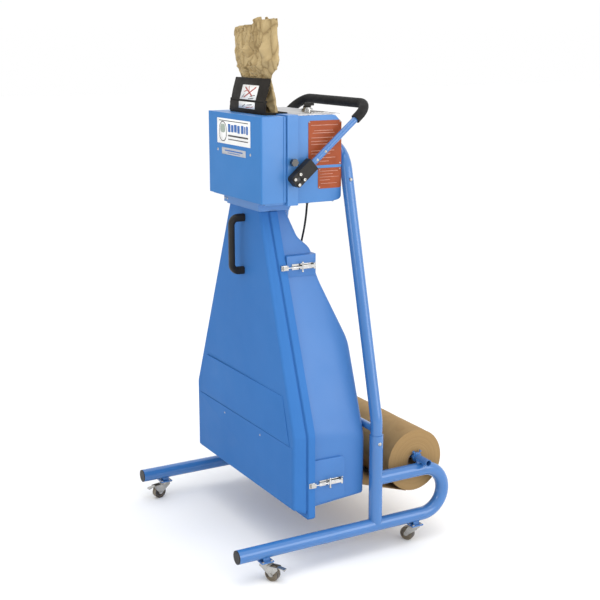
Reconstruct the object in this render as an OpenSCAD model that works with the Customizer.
// Paper cushioning converter on a wheeled tubular stand.
// A wide web of kraft paper comes off a roll at the rear, is gathered in the tapering chute,
// crimped by two feed gears in the head and cut by a hand lever at the outlet on top.
// Millimetres, +Z up, floor at z = 0. X = 0 is the centre plane and -Y is the operator's side.

/* [Stand] */
// Distance between the two skid tube axes
track_w = 834; // [820:1:860]
// Overall length of a skid, front cap to rear bend
skid_len = 857; // [840:1:880]
// Outside diameter of the skid and lower upright tube
skid_d = 48.3; // [46:0.1:50]
// Outside diameter of the hoop tube that slides into the uprights
hoop_d = 42.2; // [40:0.1:42.2]
// Height of the skid tube axis
skid_z = 100; // [98:1:102]
// Mean radius of the bend at the rear of a skid
skid_bend_r = 86; // [84:1:88]
// Y place of the uprights
upright_y = 117; // [116:1:119]
// Height of the top of the lower uprights
upright_top = 434; // [420:1:436]
// Height where the hoop legs start to lean inward
hoop_kink_z = 482; // [478:1:486]
// Lean of the hoop legs from vertical, in degrees
hoop_lean = 14.17; // [13.5:0.01:14.5]
// Height of the hoop's crossbar axis
hoop_top_z = 1413; // [1405:1:1420]
// Diameter of the brace between the hoop legs
brace_d = 27; // [25:0.5:27]

/* [Paper] */
// Width of the paper roll
roll_len = 760; // [740:1:760]
// Radius of the paper roll
roll_r = 114; // [80:1:116]
// Bore radius of the cardboard core
core_r = 29; // [27:0.5:30]
// Diameter of the roll's axle
axle_d = 25.4; // [24:0.1:26]
// Overall length of the axle
axle_len = 930; // [910:1:940]

/* [Chute] */
// Half width of the chute's lower part
chute_hw = 386; // [384:1:388]
// Height of the chute's bottom edge
chute_z0 = 200; // [196:1:206]
// Height where the chute's sides start to taper
crease_z = 467; // [460:1:470]
// Height of the chute's neck
neck_z = 1197; // [1190:1:1200]
// Half width of the chute's neck
neck_hw = 116; // [112:1:120]
// Wall of the moulded shells
shell_t = 3; // [2.5:0.1:3]

/* [Head] */
// Half width of the head covers
head_hw = 205; // [203:1:207]
// Half width of the head's chassis band
band_hw = 214; // [212:1:216]
// Bottom of the head covers
head_z0 = 1234; // [1234:1:1236]
// Top of the head covers
head_z1 = 1523; // [1520:1:1524]

/* [Lever] */
// Distance from the pivot to the crossbar of the cutting lever
lever_len = 372; // [360:1:376]
// Angle of the lever above horizontal at rest
lever_angle = 40.3; // [38:0.1:42]
// Diameter of the lever tube
lever_d = 22.2; // [20:0.1:24]
// Outside diameter of the foam grip
grip_d = 34; // [30:0.5:36]

/* [Casters] */
// Radius of a caster wheel
wheel_r = 25; // [24:0.5:25]
// Width of a caster wheel
wheel_w = 22; // [20:0.5:22]
// Distance from a caster's swivel axis to its wheel axle
trail = 28; // [26:1:30]

/* [Hidden] */
$fn = 48;
eps = 0.01;

blue = [0.22, 0.47, 0.82];
zinc = [0.72, 0.72, 0.70];
black = [0.12, 0.12, 0.12];
kraft = [0.70, 0.54, 0.36];
steel = [0.55, 0.56, 0.58];

// stand
half_track = track_w / 2;
skid_r = skid_d / 2;
skid_wall = 2.9;
hoop_r = hoop_d / 2;
hoop_wall = 2.6;
skid_front_y = -skid_len / 2;
cap_t = 3;
bend_y = skid_len / 2 - skid_r - skid_bend_r;
top_leg_z = skid_z + 2 * skid_bend_r;
socket_z0 = 300;
hoop_bend_r = 105;
plate_z1 = 66.7;
plate_t = 4;

// roll
axle_r = axle_d / 2;
axle_end_l = 23;
axle_y = 308;
axle_z = top_leg_z + skid_r + axle_r + 0.1;
core_t = 4;
roll_z = axle_z + axle_r + 0.3 - core_r;

// the web leaves the underside of the roll and rises to the chute's inlet
web_rise = 18;
web_t = 0.8;
inlet_y = 92;

// chute sections, in Y
front_y = -195;
front_neck_y = -178;
rim_y = -152;
flange_y0 = -145;
flange_y1 = -117;
rear_y0 = -116.5;
rear_y1 = inlet_y;
rear_hw = 384;
rear_z0 = 213;
rear_crease_z = 432;
slope_z0 = 743;
slope_hw = 273;
slope_z1 = 967;
slope_y = 7;
latch_lower_z = 288;
latch_upper_z = 1010;
latch_lower_x = 393;
latch_upper_x = 200;
latch_pivot_y = -14;

// head
cover_t = 3;
cover_y0 = -215;
band_y0 = -120;
band_y1 = -80;
cover_y1 = 95;
band_z0 = 1224;
band_z1 = 1527;
gear_z = 1385;
gear_pitch_r = 30;
feed_y = -118;
gear_front_y = feed_y - gear_pitch_r;
gear_rear_y = feed_y + gear_pitch_r;
gear_plate_x = 137;
throat_hw = 131;
throat_y0 = -158;
throat_y1 = -78;
flap_y = -157;
flap_z = 1567;
flap_lean = 16;
flap_h = 79;
flap_hw = 129;
blade_z = 1480;
pivot_y = -94;
pivot_z = 1316;
pivot_r = 8;
crank_x = 192;
crank_len = 150;
crank_angle = 50;
arm_x = 235;
deck_z = 1523.5;
selector_x = 60;
selector_y = 42;

// power cord: free route, chosen by hand, from the strain relief to the coil on the floor
cord_r = 4;
relief_x = -5;
relief_y = 80;
relief_z = 1192;
cord_route = [
    [relief_x, relief_y, relief_z], [-9, 80, 1170], [-18, 82, 1140], [-36, 85, 1095],
    [-57, 87, 1050], [-88, 91, 990], [-128, 97, 925], [-178, 105, 862], [-232, 115, 812],
    [-286, 127, 776], [-320, 134, 750], [-335, 135, 715], [-346, 135, 675], [-364, 135, 605],
    [-381, 135, 535], [-395, 135, 490], [-397, 137, 440], [-397, 137, 385], [-391, 133, 335],
    [-388, 129, 290], [-388, 128, 230], [-388, 127, 170], [-388, 126, 110], [-388, 126, 60],
    [-385, 126, 32], [-374, 126, 12], [-352, 126, 4.2], [-322, 126, 4.2], [-292, 126, 4.2],
    [-262, 126, 4.2], [-235, 126, 4.2]];
coil_x = -235;
coil_mean_r = 44;
coil_y = 126 + coil_mean_r + 8;
coil_h = 25;

function unit(v) = v / norm(v);
// smooth curve through the points p, at the fraction t after point i
function spline_point(p, i, t) =
    let (a = p[max(i - 1, 0)], b = p[i], c = p[i + 1], d = p[min(i + 2, len(p) - 1)])
    0.5 * (2 * b + (c - a) * t + (2 * a - 5 * b + 4 * c - d) * t * t
           + (3 * b - a - 3 * c + d) * t * t * t);
function spline(p, steps) =
    concat([for (i = [0 : len(p) - 2], s = [0 : steps - 1]) spline_point(p, i, s / steps)],
           [p[len(p) - 1]]);

// tube swept along the path, with a flat cap at each end; side is any way the path never points
module sweep_tube(path, r, sides, side = [0, 1, 0]) {
    last = len(path) - 1;
    rings = [for (k = [0 : last])
        let (t = unit(path[min(k + 1, last)] - path[max(k - 1, 0)]),
             u = unit(cross(t, side)), v = cross(t, u))
        for (s = [0 : sides - 1])
            path[k] + r * (cos(360 * s / sides) * u + sin(360 * s / sides) * v)];
    walls = [for (k = [0 : last - 1], s = [0 : sides - 1])
        [k * sides + s, (k + 1) * sides + s,
         (k + 1) * sides + (s + 1) % sides, k * sides + (s + 1) % sides]];
    polyhedron(rings, concat([[for (s = [0 : sides - 1]) s]],
                             walls, [[for (s = [sides - 1 : -1 : 0]) last * sides + s]]));
}

// box from low corner to high corner
module box(lo, hi) {
    translate(lo) cube(hi - lo);
}

// cylinder along X, Y or Z, centred on its length at the point p
module rod_x(p, r, h) {
    translate(p) rotate([0, 90, 0]) cylinder(r = r, h = h, center = true);
}
module rod_y(p, r, h) {
    translate(p) rotate([90, 0, 0]) cylinder(r = r, h = h, center = true);
}
module rod_z(p, r, h) {
    translate(p) cylinder(r = r, h = h, center = true);
}

// part of a torus in the XY plane, from angle 0 to the given angle
module arc_tube(bend_r, r, angle) {
    rotate_extrude(angle = angle) translate([bend_r, 0]) circle(r = r);
}

// closed solid through a stack of rectangular rings; a ring is
// [front half width, front y, front z, back half width, back y, back z]
module loft(rings) {
    last = len(rings) - 1;
    points = [for (q = rings) each [[-q[0], q[1], q[2]], [q[0], q[1], q[2]], [q[3], q[4], q[5]],
                                    [-q[3], q[4], q[5]]]];
    walls = [for (k = [0 : last - 1], s = [0 : 3]) let (a = 4 * k + s, b = 4 * k + (s + 1) % 4)
        each [[a, a + 4, b + 4], [a, b + 4, b]]];
    polyhedron(points, concat([[0, 1, 2, 3]], walls, [[for (s = [3 : -1 : 0]) 4 * last + s]]));
}

// ---- stand ----

// solid of radius r along one skid: front run, rear bend and top leg, in the plane x = 0
module skid_run(r) {
    rod_y([0, (skid_front_y + cap_t + bend_y) / 2, skid_z], r, bend_y - skid_front_y - cap_t);
    translate([0, bend_y, skid_z + skid_bend_r]) rotate([0, 0, 90]) rotate([90, 0, 0])
        rotate([0, 0, -90]) arc_tube(skid_bend_r, r, 180);
    rod_y([0, (upright_y + bend_y) / 2, top_leg_z], r, bend_y - upright_y);
}

caster_y = [-321, -333, 288, 288];
caster_side = [1, -1, 1, -1];
caster_heading = [33, -80, 210, 180];

// plate with two ribs that carries one caster, welded under the skid
module caster_seat(y) {
    seat_w = 42;
    seat_l = 46;
    difference() {
        translate([0, y, plate_z1 - plate_t / 2]) cube([seat_w, seat_l, plate_t], center = true);
        for (sx = [-1, 1], sy = [-1, 1])
            rod_z([sx * 14, y + sy * 16, plate_z1 - plate_t / 2], 3, plate_t + 2);
    }
    for (s = [-1, 1])
        box([s * 9 - 1.5, y - 12, plate_z1 - eps], [s * 9 + 1.5, y + 12, skid_z - skid_r + 4]);
}

// U-shaped rest that keeps the axle on the top leg
module axle_rest() {
    difference() {
        box([-4, axle_y - 18, top_leg_z + skid_r - 8], [4, axle_y + 18, axle_z + 2]);
        rod_x([0, axle_y, axle_z], axle_r + 0.1, 20);
        box([-5, axle_y - axle_r - 0.1, axle_z], [5, axle_y + axle_r + 0.1, axle_z + 20]);
    }
}

module side_frame(side) {
    color(blue) translate([side * half_track, 0, 0]) difference() {
        union() {
            skid_run(skid_r);
            rod_z([0, upright_y, (skid_z + upright_top) / 2], skid_r, upright_top - skid_z);
            caster_seat(side > 0 ? caster_y[0] : caster_y[1]);
            caster_seat(caster_y[2]);
            axle_rest();
        }
        skid_run(skid_r - skid_wall);
        rod_z([0, upright_y, (skid_z + upright_top + 10) / 2], hoop_r + 0.15,
              upright_top + 10 - skid_z);
        rod_x([0, axle_y, axle_z], axle_r + 0.1, 60);
    }
}

// points along the hoop's axis: up the right leg, round the top bend and halfway along the crossbar
kink_r = 150;
kink_start = hoop_kink_z - kink_r * tan(hoop_lean / 2);
lean_x0 = half_track - kink_r * (1 - cos(hoop_lean));
lean_z0 = kink_start + kink_r * sin(hoop_lean);
bend_centre_z = hoop_top_z - hoop_bend_r;
bend_centre_x = lean_x0 - (bend_centre_z + hoop_bend_r * sin(hoop_lean) - lean_z0) * tan(hoop_lean)
    - hoop_bend_r * cos(hoop_lean);
half_hoop = concat(
    [[half_track, upright_y, socket_z0]],
    [for (k = [0 : 4]) let (a = hoop_lean * k / 4)
        [half_track - kink_r * (1 - cos(a)), upright_y, kink_start + kink_r * sin(a)]],
    [for (k = [0 : 10]) let (a = hoop_lean + (90 - hoop_lean) * k / 10)
        [bend_centre_x + hoop_bend_r * cos(a), upright_y, bend_centre_z + hoop_bend_r * sin(a)]]);
hoop_path = concat(half_hoop, [for (k = [len(half_hoop) - 1 : -1 : 0])
    [-half_hoop[k][0], half_hoop[k][1], half_hoop[k][2]]]);

brace_z = 452;
module upper_hoop() {
    color(blue) difference() {
        union() {
            sweep_tube(hoop_path, hoop_r, 24);
            rod_x([0, upright_y, brace_z], brace_d / 2, track_w);
            // pads that bolt to the back of the head
            for (s = [-1, 1])
                box([s * 100 - 22, cover_y1, hoop_top_z - 42], [s * 100 + 22, cover_y1 + 4, hoop_top_z + 42]);
        }
        sweep_tube(hoop_path, hoop_r - hoop_wall, 16);
    }
}

module tube_end_caps() {
    color(black) for (s = [-1, 1]) {
        rod_y([s * half_track, skid_front_y + cap_t / 2, skid_z], skid_r - 0.4, cap_t);
        rod_y([s * half_track, skid_front_y + cap_t + 9, skid_z], skid_r - skid_wall - 0.1, 18);
    }
}

// domed screw head with a short shank, head towards +Z
module screw(head_r, head_h, shank_r, shank_l) {
    translate([0, 0, -shank_l]) cylinder(r = shank_r, h = shank_l + eps);
    rotate_extrude() intersection() {
        translate([0, -(head_r * head_r - head_h * head_h) / (2 * head_h)])
            circle(r = (head_r * head_r + head_h * head_h) / (2 * head_h));
        square([head_r, head_h]);
    }
}

lower_plate = [[2, 1278], [6, 1274], [88, 1274], [94, 1280], [94, 1344], [2, 1344]];
upper_plate = [[-36, 1354], [94, 1354], [94, 1498], [88, 1505], [-30, 1505], [-36, 1499]];

module bolts_and_screws() {
    color(zinc) {
        // bolts that lock the telescoping uprights
        for (s = [-1, 1]) {
            translate([s * (half_track + skid_r - 0.6), upright_y, 406]) rotate([0, s * 90, 0])
                screw(7, 4.5, 4, 2);
            translate([s * 232.5, upright_y, 1302]) rotate([0, s * (90 - hoop_lean), 0])
                screw(6, 6, 3, 2);
        }
        // rivets at the corners of the rating plates
        for (p = [[-31, 1359], [89, 1359], [89, 1500], [-31, 1500], [8, 1279], [89, 1339], [8, 1339]])
            translate([head_hw + 1.1, p[0], p[1]]) rotate([0, 90, 0]) screw(2.6, 1.4, 1, 1);
        // screws in the front cover
        for (s = [-1, 1])
            translate([s * 126, cover_y0, 1392.5]) rotate([90, 0, 0]) screw(5, 2.5, 2, 2);
        // screws in the collar
        for (x = [-126, -106])
            translate([x, -190, 1217]) rotate([90, 0, 0]) screw(4, 2.5, 2, 2);
        // screws under the rear cover
        for (s = [-1, 1])
            translate([s * 190, 70, head_z0 - 6]) rotate([180, 0, 0]) screw(5, 4, 2, 2);
    }
}

// ---- paper supply ----

module roll_axle() {
    color(blue) difference() {
        union() {
            rod_x([0, axle_y, axle_z], axle_r, axle_len - 2 * axle_end_l);
            // turned down free ends
            for (s = [-1, 1])
                rod_x([s * (axle_len - axle_end_l) / 2, axle_y, axle_z], axle_r - 0.2, axle_end_l + eps);
        }
        rod_x([0, axle_y, axle_z], axle_r - 2.5, axle_len + 2);
    }
}

// clamp collar at each end of the roll, with two thumb screws
module axle_collars() {
    collar_r = 18;
    color(blue) for (s = [-1, 1]) translate([s * (roll_len / 2 + 4), axle_y, axle_z]) {
        difference() {
            rod_x([s * 8, 0, 0], collar_r, 9);
            rod_x([s * 8, 0, 0], axle_r + 0.05, 12);
        }
        for (a = [-35, 35]) rotate([a, 0, 0]) {
            rod_z([s * 8, 0, collar_r + 3], 3, 8);
            rod_z([s * 8, 0, collar_r + 8], 5, 4);
        }
    }
}

module paper_roll() {
    color(kraft) difference() {
        rod_x([0, axle_y, roll_z], roll_r, roll_len);
        rod_x([0, axle_y, roll_z], core_r + core_t, roll_len + 2);
    }
}

module roll_core() {
    color([0.62, 0.50, 0.38]) difference() {
        rod_x([0, axle_y, roll_z], core_r + core_t, roll_len);
        rod_x([0, axle_y, roll_z], core_r, roll_len + 2);
    }
}

// web from the roll to the entry roller, then gathered upward to the neck
web_touch_y = axle_y - roll_r * sin(web_rise);
web_touch_z = roll_z - roll_r * cos(web_rise) - web_t;
entry_r = 16;
entry_y = -10;
entry_z = web_touch_z + (web_touch_y - entry_y) * tan(web_rise) + entry_r / cos(web_rise) + 1.2;
web_up_y = entry_y - entry_r - 1;
module web_wall(y, z0, hw0, z1, hw1) {
    translate([0, y, 0]) rotate([90, 0, 0]) linear_extrude(web_t)
        polygon([[-hw0, z0], [hw0, z0], [hw1, z1], [-hw1, z1]]);
}

module paper_web() {
    web_hw = roll_len / 2;
    foot_y = entry_y - entry_r * 0.6;
    turn_z = 1000;
    turn_hw = 176;
    nip_y = feed_y + web_t / 2;
    gather_z = 1180;
    gather_hw = 90;
    color(kraft) {
        translate([0, web_touch_y, web_touch_z - 0.3]) rotate([180 - web_rise, 0, 0])
            translate([-web_hw, 0, 0]) cube([2 * web_hw, (web_touch_y - foot_y) / cos(web_rise), web_t]);
        web_wall(web_up_y, entry_z, web_hw, crease_z - 20, web_hw - 4);
        web_wall(web_up_y, crease_z - 20 + eps, web_hw - 4, turn_z, turn_hw);
        // the slope from the straight back of the chute to its neck
        loft([[turn_hw - 4, web_up_y - web_t, turn_z + 0.3, turn_hw - 4, web_up_y, turn_z + 0.3],
              [gather_hw, nip_y - web_t, gather_z, gather_hw, nip_y, gather_z]]);
        web_wall(nip_y, gather_z + 0.3, gather_hw, 1362, gather_hw);
        // crumpled strand between the gears and the blade
        box([-70, -128, 1416], [70, -108, 1476]);
    }
}

// ---- casters ----

module caster_plates() {
    color(zinc) for (i = [0 : 3]) translate([caster_side[i] * half_track, caster_y[i], 0]) {
        difference() {
            box([-19, -21, 60.2], [19, 21, plate_z1 - plate_t]);
            for (sx = [-1, 1], sy = [-1, 1]) rod_z([sx * 14, sy * 16, 61], 3, 8);
        }
        for (sx = [-1, 1], sy = [-1, 1]) translate([sx * 14, sy * 16, plate_z1]) screw(5, 3.5, 2.9, 6.2);
        rod_z([0, 0, 58.5], 6, 4);
    }
}

// place children in a caster's own frame: swivel axis at the origin, wheel trailing along +X
module at_caster(i) {
    translate([caster_side[i] * half_track, caster_y[i], 0]) rotate([0, 0, caster_heading[i]]) children();
}

pedal_x = 49;
pedal_z = 49;
module fork_side(braked) {
    linear_extrude(2) difference() {
        union() {
            polygon(braked
                ? [[-15, 55], [-15, 50], [trail - 8, wheel_r - 2], [trail + 7, wheel_r],
                   [pedal_x + 4, pedal_z - 4], [pedal_x + 4, 54], [18, 55]]
                : [[-15, 55], [-15, 50], [trail - 8, wheel_r - 2], [trail + 7, wheel_r], [24, 48], [18, 55]]);
            translate([trail, wheel_r]) circle(r = 7.8);
        }
        translate([trail, wheel_r]) circle(r = 3);
    }
}

module caster_fork(i) {
    braked = i < 2;
    side_y = wheel_w / 2 + 1.5;
    color(zinc) at_caster(i) {
        difference() {
            rod_z([0, 0, 57.4], 19, 5);
            rod_z([0, 0, 58], 6.1, 8);
        }
        for (s = [-1, 1])
            translate([0, s * (side_y + 1) + 1, 0]) rotate([90, 0, 0]) fork_side(braked);
        rod_y([trail, 0, wheel_r], 3, 2 * side_y + 7);
        for (s = [-1, 1]) rod_y([trail, s * (side_y + 3.4), wheel_r], 5, 2.6);
        if (braked) rod_y([pedal_x, 0, pedal_z], 2, 2 * side_y + 4);
    }
}

module caster_wheel(i) {
    color([0.35, 0.31, 0.26]) at_caster(i) translate([trail, 0, wheel_r]) rotate([90, 0, 0])
        rotate_extrude() polygon([[3.06, -wheel_w / 2 - 1], [7, -wheel_w / 2 - 1], [8, -wheel_w / 2 + 3],
            [17, -wheel_w / 2 + 3], [19, -wheel_w / 2], [wheel_r - 1.5, -wheel_w / 2],
            [wheel_r, -wheel_w / 2 + 2], [wheel_r, wheel_w / 2 - 2], [wheel_r - 1.5, wheel_w / 2],
            [19, wheel_w / 2], [17, wheel_w / 2 - 3], [8, wheel_w / 2 - 3],
            [7, wheel_w / 2 + 1], [3.06, wheel_w / 2 + 1]]);
}

module brake_pedal(i) {
    color(zinc) at_caster(i) difference() {
        union() {
            rod_y([pedal_x, 0, pedal_z], 4.2, 17);
            translate([0, 8.5, 0]) rotate([90, 0, 0]) linear_extrude(17)
                polygon([[50, 49], [50, 53], [58, 53], [76, 50], [77, 45], [75, 44], [74, 47], [58, 50]]);
        }
        rod_y([pedal_x, 0, pedal_z], 2.06, 30);
    }
}

// ---- chute ----

// front outline of the chute, as a half width at each height, grown by d at the sides
function outline(hw, z0, zc, top_hw, z1) =
    [[-hw, z0], [hw, z0], [hw, zc], [top_hw, z1], [-top_hw, z1], [-hw, zc]];

// slab of the outline between two Y places
module slab(points, y0, y1) {
    translate([0, y1, 0]) rotate([90, 0, 0]) linear_extrude(y1 - y0) polygon(points);
}

// moulded front of the chute, its inside when inset
module front_block(inset) {
    i = inset;
    rim = i > 0 ? 6 : 0;
    up = i > 0 ? 5 : 0;
    loft([[chute_hw + 2 - i, front_y + i, chute_z0 + i, chute_hw + 10 - rim, rim_y, chute_z0 - 17 + rim],
          [chute_hw + 2 - i, front_y + i, crease_z, chute_hw + 10 - rim, rim_y, crease_z - 5],
          [neck_hw + 2 - i, front_neck_y + i, neck_z, neck_hw + 12 - rim, rim_y, neck_z],
          [neck_hw + 2 - i, front_neck_y + i, neck_z + up + eps,
           neck_hw + 12 - rim, rim_y, neck_z + up + eps]]);
}

flange_outline = outline(400, 163, crease_z - 2, 134, neck_z);
module front_shell() {
    color(blue) difference() {
        union() {
            front_block(0);
            slab(outline(chute_hw + 7, 186, crease_z - 5, neck_hw + 9, neck_z), rim_y, flange_y0);
            slab(flange_outline, flange_y0, flange_y1);
        }
        front_block(shell_t);
        slab(outline(chute_hw + 4, 189, crease_z - 5, neck_hw + 6, neck_z + 5), rim_y - eps, flange_y1 + 1);
    }
}

// moulded rear of the chute, its inside when inset: a straight back, then a slope to the neck
module rear_block(inset) {
    i = inset;
    f = rear_y0 - (i > 0 ? 1 : 0);
    b = rear_y1 - i;
    up = i > 0 ? 5 : 0;
    loft([[chute_hw - i, f, chute_z0 + i, rear_hw - i, b, rear_z0 + i],
          [chute_hw - i, f, crease_z - 3, rear_hw - i, b, rear_crease_z],
          [285 - i, f, slope_z0, slope_hw - i, b, slope_z0 - i / 2],
          [202 - i, f, slope_z1, 200 - i, slope_y - i, slope_z1 - i / 2],
          [167 - i, f, 1064, 165 - i, -i, 1064],
          [155 - i, f, 1100, 154 - i, -43 - i, 1100],
          [131 - i, f, 1165, 130 - i, -64 - i, 1165],
          [neck_hw + 2 - i, f, neck_z, neck_hw + 2 - i, -73 - i, neck_z],
          [neck_hw + 2 - i, f, neck_z + up + eps, neck_hw + 2 - i, -73 - i, neck_z + up + eps]]);
}

module rear_shell() {
    boss_y1 = 3;
    color(blue) difference() {
        union() {
            rear_block(0);
            for (s = [-1, 1]) mirror([s < 0 ? 1 : 0, 0, 0]) {
                box([340, rear_y0, 218], [latch_lower_x, boss_y1, 372]);
                box([140, rear_y0, 974], [latch_upper_x, boss_y1, 1048]);
            }
        }
        rear_block(shell_t);
        box([-381, 60, 222], [381, 110, 262]);
        for (s = [-1, 1]) mirror([s < 0 ? 1 : 0, 0, 0]) {
            box([330, rear_y0 - 1, 222], [latch_lower_x - 4, boss_y1 - 4, 368]);
            box([130, rear_y0 - 1, 978], [latch_upper_x - 4, boss_y1 - 4, 1044]);
        }
        rod_x([0, entry_y, entry_z], 6.15, 900);
    }
}

module neck_collar() {
    color(blue) difference() {
        box([-134, -190, neck_z + 0.5], [134, -66, 1228]);
        box([-108, -168, neck_z - 5], [108, -84, 1240]);
        // the band of the head sits in a shallow seat
        box([-140, band_y0 - 0.3, band_z0 - 0.3], [140, band_y1 + 0.3, 1240]);
        // the lower edge steps back above the chute's neck
        box([-140, -200, neck_z], [140, -181, 1205]);
        box([-140, -200, neck_z], [-128, 0, 1205]);
        box([128, -200, neck_z], [140, 0, 1205]);
    }
}

handle_y = -228;
handle_z0 = 974;
handle_z1 = 1162;
handle_bow_r = 20;
handle_path = concat(
    [[0, -188, handle_z0]],
    [for (k = [0 : 6]) [0, handle_y + handle_bow_r * (1 - sin(15 * k)),
                        handle_z0 + handle_bow_r * (1 - cos(15 * k))]],
    [for (k = [6 : -1 : 0]) [0, handle_y + handle_bow_r * (1 - sin(15 * k)),
                             handle_z1 - handle_bow_r * (1 - cos(15 * k))]],
    [[0, -184, handle_z1]]);
module pull_handle() {
    color(black) {
        sweep_tube(handle_path, 10, 24, [1, 0, 0]);
        rod_y([0, -189.5, handle_z0], 14, 11);
        rod_y([0, -186, handle_z1], 14, 12);
    }
}

module shell_screws() {
    color(zinc) for (s = [-1, 1])
        translate([s * 143, front_y, 403]) rotate([90, 0, 0]) screw(5, 2.5, 2, 2.5);
}

// ---- latches ----

// place children at a latch: side is 1 or -1, local X outward from the boss
module at_latch(side, x, z) {
    mirror([side < 0 ? 1 : 0, 0, 0]) translate([x, 0, z]) children();
}

module latch_keepers() {
    color(zinc) difference() {
        for (side = [-1, 1], k = [[latch_lower_x, latch_lower_z], [latch_upper_x, latch_upper_z]])
            at_latch(side, k[0], k[1]) {
                box([-10, -142, -9], [8.6, -120, 9]);
                for (s = [-1, 1]) translate([8.6, -139.3, s * 5]) rotate([0, 90, 0]) screw(2.6, 1.2, 1, 1);
            }
        slab(flange_outline, flange_y0 - 1, flange_y1 + 1);
    }
}

module latch_bases() {
    color(zinc) for (side = [-1, 1], k = [[latch_lower_x, latch_lower_z], [latch_upper_x, latch_upper_z]])
        at_latch(side, k[0], k[1]) {
            box([0, -98, -10], [2.5, -4, 10]);
            for (s = [-1, 1]) {
                box([2, latch_pivot_y - 3, s * 7.75 - 2.25], [11, latch_pivot_y + 3, s * 7.75 + 2.25]);
                rod_z([11, latch_pivot_y, s * 7.75], 4.5, 4.5);
            }
            rod_z([11, latch_pivot_y, 0], 2, 18);
        }
}

module latch_arm(side, x, z) {
    color(zinc) at_latch(side, x, z) {
        difference() {
            union() {
                rod_z([11, latch_pivot_y, 0], 4.5, 10.4);
                box([9.2, -60, -5.2], [15, latch_pivot_y, 5.2]);
            }
            rod_z([11, latch_pivot_y, 0], 2.06, 20);
        }
        rod_y([12, -88, 0], 2.2, 60);
        box([9.2, -136, -7.5], [14, -117, 7.5]);
        rod_z([14, -62, 0], 3, 30);
        for (s = [-1, 1]) translate([14, -62, s * 15]) sphere(r = 4.2);
    }
}

// ---- inside the chute ----

module entry_roller() {
    color(steel) {
        rod_x([0, entry_y, entry_z], entry_r, 740);
        rod_x([0, entry_y, entry_z], 6, 769);
    }
}

// two slanting rods that turn the edges of the web inward, hung from the neck collar
module forming_frame() {
    rod_r = 5;
    rod_len = 700;
    splay = 17;
    cross_drop = 500;
    top_z = neck_z + 14;
    color(steel) {
        for (s = [-1, 1]) {
            translate([s * 99, -150, top_z]) rotate([0, 180 - s * splay, 0]) cylinder(r = rod_r, h = rod_len);
            translate([s * 98, -150, top_z - 6]) rotate([0, s * 90, 0]) cylinder(r = 4, h = 10);
        }
        rod_x([0, -150, top_z - cross_drop], 3.5, 2 * (99 + cross_drop * tan(splay)));
    }
}

// ---- head ----

module head_chassis() {
    color(blue) difference() {
        union() {
            difference() {
                box([-band_hw, band_y0, band_z0], [band_hw, band_y1, band_z1]);
                box([-band_hw + 10, band_y0 - 1, band_z0 + 9.5], [band_hw - 10, band_y1 + 1, band_z1 - 6]);
            }
            box([-200, -200, 1228.2], [200, band_y1, 1233.5]);
            // plates that carry the feed gears
            for (s = [-1, 1])
                box([s * gear_plate_x - 2, -190, 1233], [s * gear_plate_x + 2, -62, 1428]);
        }
        box([-108, -168, 1200], [108, -84, 1240]);
        box([-134, band_y0 - 1, 1500], [134, band_y1 + 1, 1540]);
        // the gear plates stand clear of the rear cover's floor
        box([-200, band_y1, 1230], [200, -60, head_z0 + 0.4]);
        rod_x([0, pivot_y, pivot_z], pivot_r + 0.06, 500);
        for (y = [gear_front_y, gear_rear_y]) rod_x([0, y, gear_z], 15, 300);
    }
}

module cover_box(y0, y1, z0, z1) {
    box([-head_hw, y0, z0], [head_hw, y1, z1]);
}

module head_front_cover() {
    y1 = band_y0 - 0.3;
    color(blue) difference() {
        cover_box(cover_y0, y1, head_z0, head_z1);
        box([-head_hw + cover_t, cover_y0 + cover_t, head_z0 - 1],
            [head_hw - cover_t, y1 + 1, head_z1 - cover_t]);
        box([-136, -164, 1500], [136, y1 + 1, 1540]);
    }
}

module head_rear_cover() {
    y0 = band_y1 + 0.3;
    color(blue) difference() {
        cover_box(y0, cover_y1 - 0.2, head_z0 - 6, head_z1);
        box([-head_hw + cover_t, y0 - 1, head_z0], [head_hw - cover_t, cover_y1 - 0.2 - cover_t, head_z1 + 1]);
        rod_z([relief_x, relief_y, head_z0], 8, 30);
    }
}

module top_deck() {
    color(steel) difference() {
        box([-200, -74, deck_z], [200, 92, deck_z + 3]);
        rod_z([selector_x, selector_y, deck_z], 11.5, 20);
    }
}

module outlet_throat() {
    wall = 2;
    color([0.2, 0.2, 0.21]) {
        difference() {
            union() {
                box([-throat_hw - wall, throat_y0 - wall, 1432], [throat_hw + wall, throat_y1 + wall, 1531]);
                // front lip below the flap
                box([-throat_hw - wall, throat_y0 - wall - 2, 1524], [throat_hw + wall, throat_y0, 1559]);
                for (s = [-1, 1]) box([s * 125 - 5, throat_y0 - 4, 1550], [s * 125 + 5, throat_y0 + 3, flap_z]);
                for (s = [-1, 1]) rod_x([s * 125, flap_y, flap_z], 5, 10);
                // rails for the blade
                for (s = [-1, 1]) box([s * 128 - 4, throat_y1, blade_z - 6], [s * 128 + 4, -52, blade_z + 8]);
            }
            box([-throat_hw, throat_y0, 1400], [throat_hw, throat_y1, 1549]);
            box([-126, -90, blade_z - 1], [126, 40, blade_z + 4]);
        }
        rod_x([0, flap_y, flap_z], 2.5, 250);
    }
}

module outlet_flap() {
    color(black) difference() {
        translate([0, flap_y, flap_z]) rotate([-flap_lean, 0, 0]) {
            rod_x([0, 0, 0], 5, 2 * 119);
            box([-119, -4.5, 0], [119, -0.5, 12]);
            box([-flap_hw, -4.5, 7], [flap_hw, -0.5, flap_h]);
        }
        rod_x([0, flap_y, flap_z], 2.56, 300);
    }
}

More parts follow.
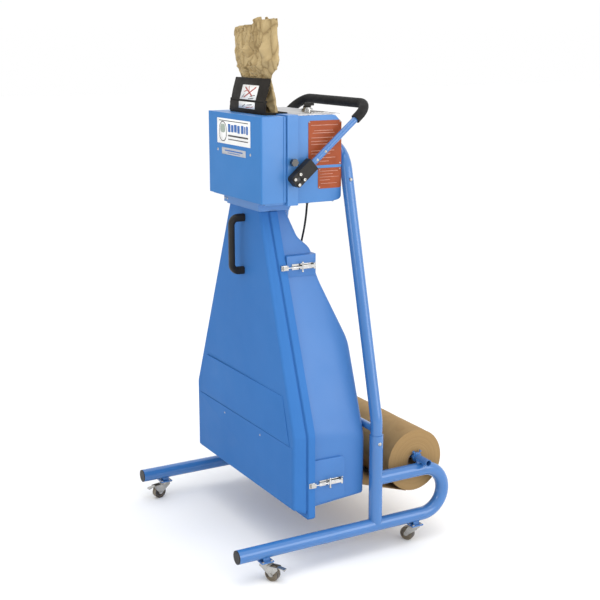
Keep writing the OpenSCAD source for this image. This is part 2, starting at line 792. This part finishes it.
// crumpled pad standing in the outlet, as a plain block
module paper_pad() {
    color(kraft) {
        hull() {
            box([-112, -146, 1487], [108, -92, 1491]);
            box([-122, -124, 1640], [108, -66, 1644]);
        }
        hull() {
            box([-122, -124, 1644], [108, -66, 1645]);
            box([-152, -140, 1730], [152, -62, 1734]);
            box([-156, -138, 1806], [150, -66, 1810]);
        }
        hull() {
            box([-156, -138, 1810], [150, -66, 1811]);
            box([-20, -130, 1844], [100, -80, 1848]);
        }
    }
}

module gearmotor() {
    color([0.30, 0.31, 0.33]) {
        difference() {
            box([-184, -124, 1348], [-141.4, -50, 1422]);
            rod_x([-150, gear_rear_y, gear_z], 8.05, 40);
        }
        rod_y([-140, 18, gear_z], 44, 136);
        rod_y([-140, 88, gear_z], 20, 6);
        box([-160, -40, gear_z + 40], [-110, 30, gear_z + 52]);
    }
}

// toothed feed wheel with its shaft: 12 teeth, phase turned by half a tooth on one of the pair
module feed_gear(y, phase, shaft_x0, shaft_x1) {
    teeth = 12;
    color(steel) translate([0, y, gear_z]) {
        rotate([0, 90, 0]) difference() {
            union() {
                cylinder(r = gear_pitch_r - 6, h = 50, center = true);
                for (k = [0 : teeth - 1]) rotate([0, 0, 360 / teeth * k + phase])
                    linear_extrude(50, center = true)
                        polygon([[20, -3.6], [gear_pitch_r + 3.4, -1.3], [gear_pitch_r + 3.4, 1.3], [20, 3.6]]);
            }
            cylinder(r = 7.99, h = 60, center = true);
        }
        rod_x([(shaft_x0 + shaft_x1) / 2, 0, 0], 7.99, shaft_x1 - shaft_x0);
    }
}

module gear_bearings() {
    color(zinc) for (s = [-1, 1], y = [gear_front_y, gear_rear_y]) difference() {
        union() {
            rod_x([s * gear_plate_x, y, gear_z], 14.9, 8);
            rod_x([s * (gear_plate_x - 5), y, gear_z], 18, 5);
        }
        rod_x([s * gear_plate_x, y, gear_z], 8.05, 30);
    }
}

// ---- cutter ----

module cutter_blade() {
    color(steel) {
        box([-125.5, -74, blade_z], [125.5, 32, blade_z + 3]);
        box([-197, 30, blade_z], [197, 48, blade_z + 3]);
    }
}

module lever_shaft() {
    color(steel) {
        rod_x([0, pivot_y, pivot_z], pivot_r, 2 * 245);
        for (s = [-1, 1]) translate([s * crank_x, pivot_y, pivot_z]) rotate([crank_angle - 90, 0, 0]) difference() {
            translate([-3, -9, -9]) cube([6, 18, crank_len + 9]);
            rod_x([0, 0, 0], pivot_r - eps, 20);
        }
    }
}

// place children in the lever's frame: pivot at the origin, arm along +Z, clamp face up front
module at_lever() {
    translate([0, pivot_y, pivot_z]) rotate([lever_angle - 90, 0, 0]) children();
}

bend_c = 62;
arm_start = 60;
grip_start = 295;
module lever_tube() {
    color(blue) at_lever() {
        for (m = [0, 1]) mirror([m, 0, 0]) difference() {
            union() {
                translate([arm_x, 0, arm_start]) cylinder(r = lever_d / 2, h = lever_len - bend_c - arm_start);
                translate([arm_x - bend_c, 0, lever_len - bend_c]) rotate([90, 0, 0])
                    arc_tube(bend_c, lever_d / 2, 90);
                translate([-eps, 0, lever_len]) rotate([0, 90, 0])
                    cylinder(r = lever_d / 2, h = arm_x - bend_c + eps);
            }
            translate([arm_x, 0, arm_start - 1]) cylinder(r = lever_d / 2 - 2, h = lever_len - bend_c - arm_start);
        }
    }
}

module lever_grip() {
    gap = 0.05;
    color(black) at_lever() for (m = [0, 1]) mirror([m, 0, 0]) difference() {
        union() {
            translate([arm_x, 0, grip_start]) cylinder(r = grip_d / 2, h = lever_len - bend_c - grip_start);
            translate([arm_x - bend_c, 0, lever_len - bend_c]) rotate([90, 0, 0])
                arc_tube(bend_c, grip_d / 2, 90);
            translate([0, 0, lever_len]) rotate([0, 90, 0]) cylinder(r = grip_d / 2, h = arm_x - bend_c);
        }
        translate([arm_x, 0, grip_start - 1])
            cylinder(r = lever_d / 2 + gap, h = lever_len - bend_c - grip_start + 1);
        translate([arm_x - bend_c, 0, lever_len - bend_c]) rotate([90, 0, 0])
            arc_tube(bend_c, lever_d / 2 + gap, 90);
        translate([-1, 0, lever_len]) rotate([0, 90, 0])
            cylinder(r = lever_d / 2 + gap, h = arm_x - bend_c + 1);
    }
}

bolt_at = [[-12, -13], [12, -13], [-12, 13], [12, 13]];
module lever_clamps() {
    color(black) at_lever() for (m = [0, 1]) mirror([m, 0, 0]) difference() {
        translate([arm_x - 18, 0, 0]) rotate([0, 90, 0]) linear_extrude(32) hull() {
            translate([12, -11]) circle(r = 11);
            translate([12, 11]) circle(r = 11);
            translate([-76, -22]) square([2, 44]);
        }
        rod_x([arm_x, 0, 0], pivot_r + 0.02, 80);
        translate([arm_x, 0, arm_start - 2]) cylinder(r = lever_d / 2 + 0.02, h = 60);
    }
}

module lever_bolts() {
    color(zinc) at_lever() for (m = [0, 1]) mirror([m, 0, 0]) {
        for (b = bolt_at) difference() {
            rod_x([arm_x + 14 + 3, b[0], b[1]], 5, 6);
            rod_x([arm_x + 14 + 5, b[0], b[1]], 2.5, 3);
        }
        for (z = [94, 136]) translate([arm_x + lever_d / 2 - 0.6, 0, z]) rotate([0, 90, 0]) screw(5, 2.5, 2, 2);
    }
}

// ---- controls and plates ----

knob_y = -103;
knob_z = 1371;
module cover_knob() {
    color(black) translate([band_hw + 0.4, knob_y, knob_z]) rotate([0, 90, 0]) difference() {
        union() {
            cylinder(r = 7, h = 10);
            translate([0, 0, 8]) cylinder(r = 13, h = 14);
        }
        for (k = [0 : 5]) rotate([0, 0, 60 * k]) translate([15.5, 0, 6]) cylinder(r = 4.5, h = 20);
    }
}

module selector_base() {
    z = deck_z + 3;
    color([0.75, 0.75, 0.76]) {
        difference() {
            union() {
                rod_z([selector_x, selector_y, z + 5], 21, 10);
                rod_z([selector_x, selector_y, z + 12], 15, 4);
            }
            rod_z([selector_x, selector_y, z + 5], 5.06, 60);
        }
        difference() {
            rod_z([selector_x, selector_y, deck_z - 18], 11, 42);
            rod_z([selector_x, selector_y, deck_z + 4], 5.06, 10);
        }
        box([selector_x + 42, selector_y - 35, z], [selector_x + 90, selector_y + 35, z + 1.6]);
    }
}

module selector_knob() {
    z = deck_z + 17.4;
    color(black) translate([selector_x, selector_y, z]) {
        cylinder(r = 14, h = 5);
        translate([0, 0, -14]) cylinder(r = 5, h = 15);
        translate([-4, -10, 4.9]) cube([8, 36, 10]);
    }
}

module side_plates() {
    color([0.80, 0.25, 0.12]) translate([head_hw + 0.1, 0, 0]) rotate([90, 0, 90]) {
        linear_extrude(1) polygon(upper_plate);
        linear_extrude(1) polygon(lower_plate);
    }
}

module front_plates() {
    color([0.9, 0.9, 0.88]) {
        box([-128, cover_y0 - 1, 1416], [128, cover_y0, 1503.5]);
        box([-92, cover_y0 - 1, 1379.5], [92, cover_y0, 1402.5]);
    }
}

// ---- power cord ----

module strain_relief() {
    color(black) difference() {
        union() {
            translate([relief_x, relief_y, relief_z]) cylinder(r1 = 5.5, r2 = 7.5, h = head_z0 - 6 - relief_z);
            rod_z([relief_x, relief_y, head_z0 - 4], 7.9, 4.2);
            rod_z([relief_x, relief_y, head_z0 - 8], 11, 4);
        }
        rod_z([relief_x, relief_y, 1225], 2, 30);
    }
}

module power_cord() {
    color(black) sweep_tube(spline(cord_route, 2), cord_r, 8);
}

module cord_coil() {
    color(black) translate([coil_x, coil_y, 0.2])
        rotate_extrude() translate([coil_mean_r - 8.1, 0]) square([16.2, coil_h]);
}

// plug beside the coil, blades towards +X
plug_x = -173;
plug_y = coil_y - coil_mean_r - 4;
module power_plug() {
    color(black) {
        hull() {
            translate([plug_x - 13, plug_y - 14, 1]) cube([26, 28, 24]);
            translate([plug_x - 22, plug_y - 8, 6]) cube([4, 16, 14]);
        }
        // the cord's last stretch, from the coil to the plug
        rod_x([plug_x - 27, plug_y, 14], cord_r, 11);
    }
    color(zinc) {
        for (s = [-1, 1]) box([plug_x + 12, plug_y + s * 6.3 - 0.8, 13], [plug_x + 30, plug_y + s * 6.3 + 0.8, 19.5]);
        rod_x([plug_x + 21, plug_y, 7], 2.4, 19);
    }
}

side_frame(1);  // side_frame_right
side_frame(-1);  // side_frame_left
upper_hoop();
tube_end_caps();
bolts_and_screws();
roll_axle();
axle_collars();
paper_roll();
roll_core();
paper_web();
caster_plates();
caster_fork(0);  // caster_fork_fr
caster_fork(1);  // caster_fork_fl
caster_fork(2);  // caster_fork_rr
caster_fork(3);  // caster_fork_rl
caster_wheel(0);  // caster_wheel_fr
caster_wheel(1);  // caster_wheel_fl
caster_wheel(2);  // caster_wheel_rr
caster_wheel(3);  // caster_wheel_rl
brake_pedal(0);  // brake_pedal_fr
brake_pedal(1);  // brake_pedal_fl
front_shell();
rear_shell();
neck_collar();
pull_handle();
shell_screws();
latch_keepers();
latch_bases();
latch_arm(1, latch_lower_x, latch_lower_z);  // latch_arm_lower_right
latch_arm(-1, latch_lower_x, latch_lower_z);  // latch_arm_lower_left
latch_arm(1, latch_upper_x, latch_upper_z);  // latch_arm_upper_right
latch_arm(-1, latch_upper_x, latch_upper_z);  // latch_arm_upper_left
entry_roller();
forming_frame();
head_chassis();
head_front_cover();
head_rear_cover();
top_deck();
outlet_throat();
outlet_flap();
paper_pad();
gearmotor();
feed_gear(gear_front_y, 15, -146, 146);  // feed_gear_front
feed_gear(gear_rear_y, 0, -166, 146);  // feed_gear_rear
gear_bearings();
cutter_blade();
lever_shaft();
lever_tube();
lever_grip();
lever_clamps();
lever_bolts();
cover_knob();
selector_base();
selector_knob();
side_plates();
front_plates();
strain_relief();
power_cord();
cord_coil();
power_plug();
